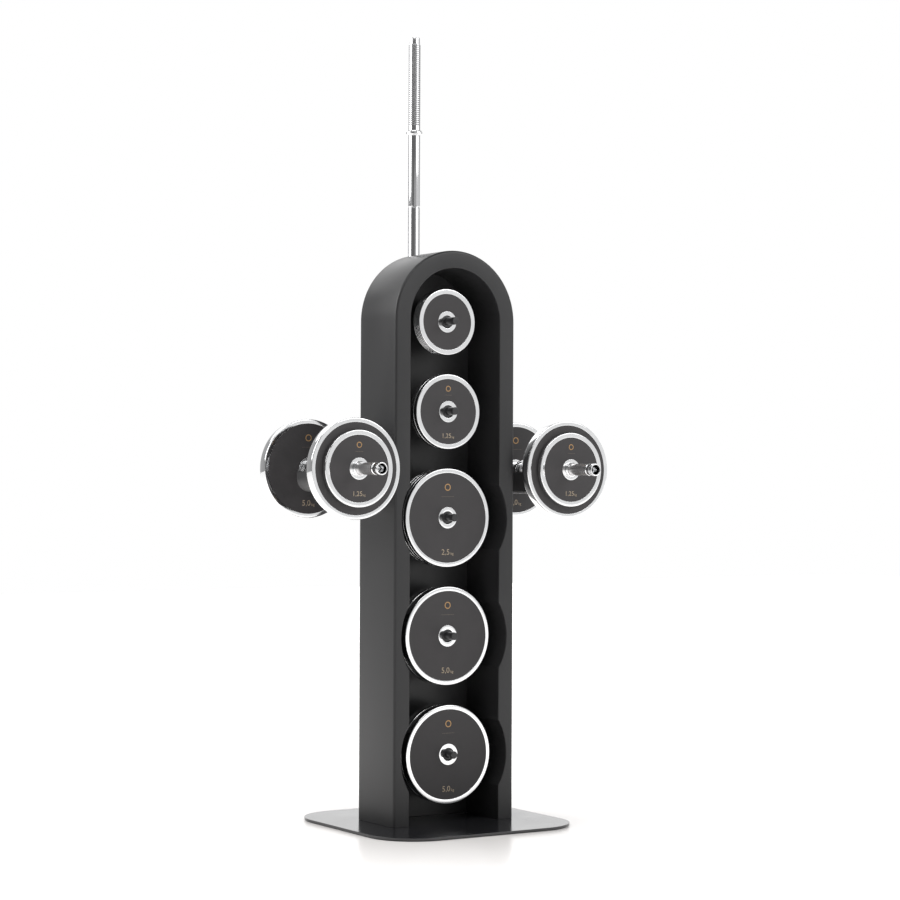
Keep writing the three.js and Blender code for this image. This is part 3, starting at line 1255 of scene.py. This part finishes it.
@dataclass
class Dumbbell:
    """A loaded dumbbell lying in its cradle."""

    side: Side
    inner_span: float = 173.0
    grip_span: float = 112.6
    grip_radius: float = 14.0
    bar_radius: float = 12.5
    thread_radius: float = 8.0
    tip: float = 159.2
    plain: float = 119.2
    thread_turns: int = 16
    collar_radius: float = 15.5
    flange_radius: float = 20.0
    lock_start: float = 120.0
    lock_length: float = 87.0
    lock_root: float = 15.0
    lock_band: float = 12.5
    lock_bore: float = 8.5

    @property
    def stem(self) -> str:
        """The side's word, as node names begin."""
        return self.side.value

    def middle(self) -> Vector:
        """Returns the middle of the bar, in metres."""
        low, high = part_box(f"{self.stem}_dumbbell_bar")
        return (low + high) / 2

    def build(self) -> None:
        """Builds the bar, its collars, plates and locks."""
        self.build_bar()
        for end in End:
            self.build_collar(end)
            stem = f"{self.stem}_{end.value}"
            inward = End.REAR if end is End.FRONT else End.FRONT
            large = Plate(FIVE, f"{stem}_plate_5kg", f"{stem}_large_plate", (inward,))
            large.build()
            small = Plate(ONE, f"{stem}_plate_1_25kg", f"{stem}_small_plate", (end,), end is End.REAR)
            small.build()
            self.build_lock(end)

    def build_bar(self) -> None:
        """Builds the bar with its knurled grip and threaded ends."""
        grip = self.grip_span / 2 - GAP
        half = [
            Corner(self.grip_radius, grip - 4, 0, 0),
            Corner(self.grip_radius, grip, 0.6, 0),
            Corner(self.bar_radius, grip, 0, 0),
            Corner(self.bar_radius, self.plain, 0.5, 0),
            Corner(self.thread_radius, self.plain, 0, 0),
        ]
        pitch = (self.tip - self.plain - 3) / self.thread_turns
        for i in range(self.thread_turns):
            start = self.plain + 1 + i * pitch
            half.append(Corner(self.thread_radius - 0.7, start + pitch * 0.25, 0, 0))
            half.append(Corner(self.thread_radius, start + pitch * 0.75, 0, 0))
        half += [Corner(self.thread_radius - 1.2, self.tip, 0.2, 0), Corner(0, self.tip, 0, 0)]
        low = [Corner(c.x, -c.y, c.round, c.finish) for c in reversed(half)]
        low[-1] = Corner(self.grip_radius, -(grip - 4), 0, 1)
        bar = turned(f"{self.stem}_bar_turned", low + half, [CHROME, KNURL], sides=64, closed=False)
        bar.location = self.middle()
        settle(bar, f"{self.stem}_dumbbell", f"{self.stem}_dumbbell_bar")

    def build_collar(self, end: End) -> None:
        """Builds the stepped collar between the grip and a large plate.

        Args:
            end: The end that it sits on.
        """
        start = self.grip_span / 2
        stop = self.inner_span / 2 - GAP
        bore = self.bar_radius + GAP
        body, flange = self.collar_radius, self.flange_radius
        corners = [
            Corner(bore, start, 0.3),
            Corner(flange, start, 1.4),
            Corner(flange, start + 6, 1.4),
            Corner(16.2, start + 7.4, 0.6),
            Corner(body, start + 9, 0.6),
            Corner(body, stop - 6, 0.4),
            Corner(body - 0.5, stop - 5.4, 0.2),
            Corner(body - 0.5, stop - 4, 0.2),
            Corner(body, stop - 3.4, 0.4),
            Corner(body, stop, 0.6),
            Corner(bore, stop, 0.3),
        ]
        self.place_turned(f"{self.stem}_{end.value}_collar", corners, end, f"{self.stem}_dumbbell")

    def build_lock(self, end: End) -> None:
        """Builds the long lock sleeve.

        Args:
            end: The end that it sits on.
        """
        root, band = self.lock_start, self.lock_band
        mouth = root + self.lock_length
        corners = [
            Corner(self.lock_bore, root, 0.3),
            Corner(self.lock_root, root, 1.0),
            Corner(self.lock_root, root + 3, 1.3),
            Corner(12.6, root + 4.2, 0.8, 1),
            Corner(11.9, root + 8, 0.8, 1),
            Corner(11.9, root + 62, 0.5, 1),
            Corner(band, root + 63, 0.4),
            Corner(band, root + 66, 0.4),
            Corner(11.3, root + 67, 0.4),
            Corner(11.3, root + 71, 0.4),
            Corner(band, root + 72.5, 0.7),
            Corner(band, mouth, 1.9),
            Corner(10.2, mouth, 0.8),
            Corner(self.lock_bore, mouth - 9, 0.8),
        ]
        body = f"{self.stem}_{end.value}_lock_sleeve"
        self.place_turned(f"{self.stem}_{end.value}_lock", corners, end, body, [CHROME, SLEEVE])

    def place_turned(
        self,
        node: str,
        corners: list[Corner],
        end: End,
        body: str,
        finishes: list[Finish] | None = None,
    ) -> None:
        """Makes a turned piece on either end and settles it.

        Args:
            node: The CAD node that it stands for.
            corners: Its section, as made for the far end.
            end: The end that it sits on.
            body: The body that it rides on.
            finishes: The finishes that its corners name, or plain chrome.
        """
        piece = turned(f"{node}_turned", corners, finishes or [CHROME], sides=72)
        if end is End.FRONT:
            piece.data.transform(Matrix.Rotation(math.pi, 4, "Z"))
        piece.location = self.middle()
        settle(piece, body, node)


@dataclass
class Cradle:
    """The moulded block beside the tower and the polished plate under it."""

    side: Side
    grip_radius: float = 14.3
    corner: float = 27.0
    edge: float = 1.8

    def build(self) -> None:
        """Builds the block and its plate."""
        node = f"{self.side.value}_cradle"
        low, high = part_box(node)
        bar_low, bar_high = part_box(f"{self.side.value}_dumbbell_bar")
        axis = (bar_low + bar_high) / 2 / MM
        sign = self.side.sign
        inner = min(abs(low.x), abs(high.x)) / MM
        outer = max(abs(low.x), abs(high.x)) / MM
        bottom, top = low.z / MM, high.z / MM
        half = math.degrees(math.acos((axis.z - top) / self.grip_radius))
        outline = [(inner, top)]
        outline += arc(abs(axis.x), axis.z, self.grip_radius, -90 - half, -90 + half, 24)
        outline += [(outer, top)]
        outline += arc(outer - self.corner, bottom + self.corner, self.corner, 0, -90, 20)
        outline += [(inner, bottom)]
        outline = [(sign * x, z) for x, z in outline]
        block = prism(f"{node}_moulded", outline, low.y / MM, high.y / MM, URETHANE, Axis.DEPTH, self.edge)
        settle(block, "tower", node)
        self.build_bracket()

    def build_bracket(self) -> None:
        """Builds the plate under the block."""
        node = f"{self.side.value}_cradle_bracket"
        low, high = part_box(node)
        middle = (low + high) / 2 / MM
        size = (high - low) / MM
        outline = [(x + middle.x, y + middle.y) for x, y in rounded_rectangle(size.x, size.y, 4, 6)]
        plate = prism(f"{node}_polished", outline, low.z / MM, high.z / MM, SATIN, edge=0.5)
        settle(plate, "tower", node)


@dataclass
class LongBar:
    """The long bar behind the tower with its collars, its cup and its clip."""

    radius: float = 12.5
    length: float = 1610.7
    tip_radius: float = 11.0
    tip_length: float = 14.0
    sleeve: float = 180.0
    ridge_pitch: float = 4.2
    ridge_depth: float = 0.7
    joint_height: float = 1258.0
    collar_bore: float = 12.8
    collar_face: float = 16.0
    collar_radius: float = 17.5
    cup_bore: float = 13.0
    cup_radius: float = 21.0
    cup_height: float = 34.0
    clip_bore: float = 13.0
    clip_mouth: float = 10.5

    def bar_end(self) -> list[Corner]:
        """Returns the section of one end: plain tip, ridged sleeve and shank, from the tip inward."""
        tip, radius = self.tip_radius, self.radius
        corners = [
            Corner(0, 0, 0, 1),
            Corner(tip - 3.4, 0, 0.3, 1),
            Corner(tip - 2.6, 1.2, 0.3, 1),
            Corner(tip - 1.6, 0, 0.5, 1),
            Corner(tip, 0, 1.4, 1),
            Corner(tip, self.tip_length, 0.4, 1),
            Corner(radius, self.tip_length + 1, 0.4, 1),
        ]
        start = self.tip_length + 3
        count = int((self.sleeve - 8) / self.ridge_pitch)
        for i in range(count):
            at = start + i * self.ridge_pitch
            # Finish 2 darkens each groove bottom with painted shade.
            corners += [
                Corner(radius, at, 0.2, 2),
                Corner(radius - self.ridge_depth, at + 0.35, 0.1, 2),
                Corner(radius - self.ridge_depth, at + 1.25, 0.1, 2),
                Corner(radius, at + 1.6, 0.2, 1),
            ]
        return corners

    def build(self) -> None:
        """Builds the bar and everything that holds it."""
        low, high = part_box("long_bar")
        middle = (low + high) / 2
        below = self.bar_end()
        owners = [below[0], *below[:-1]]
        mirrored = zip(below[::-1], owners[::-1])
        above = [Corner(c.x, self.length - c.y, c.round, owner.finish) for c, owner in mirrored]
        joint = self.joint_height
        shank = [
            Corner(self.radius, joint - 1.8, 0.3, 1),
            Corner(self.radius - 0.6, joint - 1.0, 0.2, 0),
            Corner(self.radius - 0.6, joint + 1.0, 0.2, 0),
            Corner(self.radius, joint + 1.8, 0.3, 1),
        ]
        below[-1] = Corner(below[-1].x, below[-1].y, below[-1].round, 1)
        section = below + shank + above
        bar = turned("long_bar_turned", section, [CHROME, TURNED, GROOVE_SHADE], Axis.HEIGHT, 64, False, 2)
        bar.location = (middle.x, middle.y, low.z)
        settle(bar, "standing_bar", "long_bar")
        for place in ("lower", "upper"):
            self.build_collar(f"long_bar_{place}_collar")
        self.build_socket()
        self.build_clip()

    def build_collar(self, node: str) -> None:
        """Builds one fixed collar.

        Args:
            node: The CAD node that it stands for.
        """
        low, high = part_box(node)
        middle = (low + high) / 2
        tall = (high.z - low.z) / MM
        collar = turned(
            f"{node}_turned",
            [
                Corner(self.collar_bore, 0, 0.3),
                Corner(self.collar_face, 0, 0.4),
                Corner(16.6, 1.6, 0.4),
                Corner(self.collar_radius, 2.2, 0.6),
                Corner(self.collar_radius, tall - 2.2, 0.6),
                Corner(16.6, tall - 1.6, 0.4),
                Corner(self.collar_face, tall, 0.4),
                Corner(self.collar_bore, tall, 0.3),
            ],
            [CHROME],
            Axis.HEIGHT,
            72,
        )
        collar.location = (middle.x, middle.y, low.z)
        settle(collar, "standing_bar", node)

    def build_socket(self) -> None:
        """Builds the cup that the bar stands in."""
        low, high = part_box("long_bar_socket")
        middle = (low + high) / 2
        cup = turned(
            "long_bar_socket_turned",
            [
                Corner(self.cup_bore, 0, 0.3),
                Corner(self.cup_radius, 0, 0.5),
                Corner(self.cup_radius, self.cup_height - 2, 2.2),
                Corner(self.cup_radius - 2, self.cup_height, 0.8),
                Corner(self.cup_bore, self.cup_height, 0.9),
            ],
            [POWDER],
            Axis.HEIGHT,
            72,
        )
        cup.location = (middle.x, middle.y, low.z)
        settle(cup, "tower", "long_bar_socket")

    def build_clip(self) -> None:
        """Builds the clip on the back panel."""
        low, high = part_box("long_bar_clip")
        bar_low, bar_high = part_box("long_bar")
        axis = (bar_low + bar_high) / 2 / MM
        opening = math.degrees(math.asin(self.clip_mouth / self.clip_bore))
        half = high.x / MM
        y0, y1 = low.y / MM, high.y / MM
        outline = [(-half, y0), (half, y0), (half, y1)]
        outline += arc(0, axis.y, self.clip_bore, 90 - opening, -270 + opening, 48)
        outline += [(-half, y1)]
        clip = prism("long_bar_clip_moulded", outline, low.z / MM, high.z / MM, URETHANE, edge=0.9)
        settle(clip, "tower", "long_bar_clip")


# ---------------------------------------------------------------- studio


@dataclass
class Studio:
    """The floor, the lights and the camera."""

    camera_place: tuple[float, float, float] = (-2.6128, -4.2229, 0.7118)
    turn: float = 32.04
    tilt: float = 0.553
    roll: float = 0.235
    lens: float = 97.17
    sensor: float = 36
    sight: float = 60
    floor_reach: float = 9.0
    lamp_aim: float = 0.8
    lamps: list[tuple[str, tuple[float, float, float], tuple[float, float], float]] = field(
        default_factory=lambda: [
            ("front_box", (1.7, -2.5, 2.5), (2.2, 1.6), 30.0),
            ("left_box", (-2.3, 1.2, 2.1), (2.2, 1.6), 50.0),
            ("back_box", (0.0, 2.7, 2.8), (2.4, 1.2), 9.0),
            ("top_box", (-0.9, -1.0, 3.1), (1.8, 1.4), 22.0),
        ]
    )
    room: list[tuple[float, float]] = field(
        default_factory=lambda: [
            (-1.0, 1.4),
            (-0.9, 1.0),
            (-0.7, 0.44),
            (-0.35, 0.34),
            (0.3, 0.23),
            (0.95, 0.18),
        ]
    )
    strips: list[tuple[float, float, list[tuple[float, float]]]] = field(
        default_factory=lambda: [
            (66.0, 0.06, [(0.60, 0.0), (0.86, 0.36), (0.95, 0.62)]),
            (112.0, 0.0, [(0.80, 0.0), (0.96, 0.20)]),
            (-50.0, 0.0, [(0.95, 0.0), (0.985, 0.26)]),
            (11.0, 0.0, [(0.975, 0.0), (0.992, 0.30)]),
        ]
    )

    def build_floor(self) -> None:
        """Lays the floor."""
        bm = bmesh.new()
        ways = ((-1, -1), (1, -1), (1, 1), (-1, 1))
        bm.faces.new([bm.verts.new((x * self.floor_reach, y * self.floor_reach, 0)) for x, y in ways])
        mesh = bpy.data.meshes.new("studio_floor")
        bm.to_mesh(mesh)
        bm.free()
        mesh.materials.append(FLOOR.material())
        in_scene("studio_floor", mesh)

    def build_world(self) -> None:
        """Makes the white room, darker behind the camera than beside it."""
        world = bpy.data.worlds.new("studio")
        bpy.context.scene.world = world
        world.use_nodes = True
        tree = world.node_tree
        tree.nodes.clear()
        output = tree.nodes.new("ShaderNodeOutputWorld")
        seen = tree.nodes.new("ShaderNodeBackground")
        seen.inputs["Color"].default_value = (1, 1, 1, 1)
        seen.inputs["Strength"].default_value = 1.0
        lit = tree.nodes.new("ShaderNodeBackground")
        lit.inputs["Strength"].default_value = 1.0
        path = tree.nodes.new("ShaderNodeLightPath")
        mix = tree.nodes.new("ShaderNodeMixShader")
        tree.links.new(path.outputs["Is Camera Ray"], mix.inputs["Fac"])
        tree.links.new(lit.outputs["Background"], mix.inputs[1])
        tree.links.new(seen.outputs["Background"], mix.inputs[2])
        tree.links.new(mix.outputs["Shader"], output.inputs["Surface"])
        where = tree.nodes.new("ShaderNodeTexCoord").outputs["Generated"]
        total = self.room_zone(tree, where, self.toward(0.0, 0.0), self.room)
        for across, rise, stops in self.strips:
            join = tree.nodes.new("ShaderNodeMixRGB")
            join.blend_type = "ADD"
            join.inputs["Fac"].default_value = 1.0
            tree.links.new(total, join.inputs["Color1"])
            strip = self.room_zone(tree, where, self.toward(across, rise), stops)
            tree.links.new(strip, join.inputs["Color2"])
            total = join.outputs["Color"]
        tree.links.new(total, lit.inputs["Color"])

    def toward(self, across: float, rise: float) -> tuple[float, float, float]:
        """A direction in the room.

        Args:
            across: Degrees to the right of the way back to the camera, as the camera sees the room.
            rise: How far it climbs for each metre along the floor.

        Returns:
            The direction.
        """
        heading = math.radians(across - self.turn)
        return (math.sin(heading), -math.cos(heading), rise)

    @staticmethod
    def room_zone(
        tree: bpy.types.NodeTree,
        where: bpy.types.NodeSocket,
        aim: tuple[float, float, float],
        stops: list[tuple[float, float]],
    ) -> bpy.types.NodeSocket:
        """Grades the room by the angle away from one direction.

        Args:
            tree: The world's nodes.
            where: The direction looked in.
            aim: The direction that the grade is centred on.
            stops: Cosine of the angle and brightness there, from the far side to the near one.

        Returns:
            The brightness as a colour.
        """
        dot = tree.nodes.new("ShaderNodeVectorMath")
        dot.operation = "DOT_PRODUCT"
        dot.inputs[1].default_value = Vector(aim).normalized()
        tree.links.new(where, dot.inputs[0])
        spread = tree.nodes.new("ShaderNodeMapRange")
        spread.inputs["From Min"].default_value = -1.0
        tree.links.new(dot.outputs["Value"], spread.inputs["Value"])
        ramp = tree.nodes.new("ShaderNodeValToRGB")
        marks = ramp.color_ramp.elements
        while len(marks) < len(stops):
            marks.new(0.5)
        for mark, (cosine, light) in zip(marks, stops):
            mark.position = (cosine + 1) / 2
            mark.color = (light, light, light, 1)
        tree.links.new(spread.outputs["Result"], ramp.inputs["Fac"])
        return ramp.outputs["Color"]

    def build_lamps(self) -> None:
        """Hangs the soft boxes, each aimed at the tower."""
        for name, place, size, power in self.lamps:
            data = bpy.data.lights.new(name, "AREA")
            data.shape = "RECTANGLE"
            data.size, data.size_y = size
            data.energy = power
            lamp = in_scene(name, data)
            lamp.location = place
            aim = Vector((0, 0, self.lamp_aim)) - Vector(place)
            lamp.rotation_euler = aim.to_track_quat("-Z", "Y").to_euler()
            lamp.visible_camera = False

    def build_camera(self) -> None:
        """Sets the camera up."""
        data = bpy.data.cameras.new("view")
        data.lens = self.lens
        data.sensor_width = self.sensor
        data.clip_end = self.sight
        camera = in_scene("view", data)
        turn = Matrix.Rotation(math.radians(-self.turn), 4, "Z")
        tilt = Matrix.Rotation(math.radians(90 + self.tilt), 4, "X")
        roll = Matrix.Rotation(math.radians(self.roll), 4, "Z")
        camera.matrix_world = Matrix.Translation(self.camera_place) @ turn @ tilt @ roll
        bpy.context.scene.camera = camera

    def build(self) -> None:
        """Builds the whole studio."""
        self.build_camera()
        self.build_floor()
        self.build_world()
        self.build_lamps()
        settings = bpy.context.scene.view_settings
        settings.view_transform = "Standard"
        settings.look = "None"


def main() -> None:
    """Builds the rack from the floor up."""
    logging.basicConfig(level=logging.INFO, format="%(name)s: %(message)s")
    Studio().build()
    FloorPlate().build()
    Tower().build()
    for number, (kind, count) in enumerate(((FIVE, 2), (FIVE, 2), (TWO, 4), (ONE, 2), (HALF, 5)), 1):
        Peg(number, kind, count).build()
    for side in Side:
        Cradle(side).build()
        Dumbbell(side).build()
    LongBar().build()


if __name__ == "__main__":
    main()
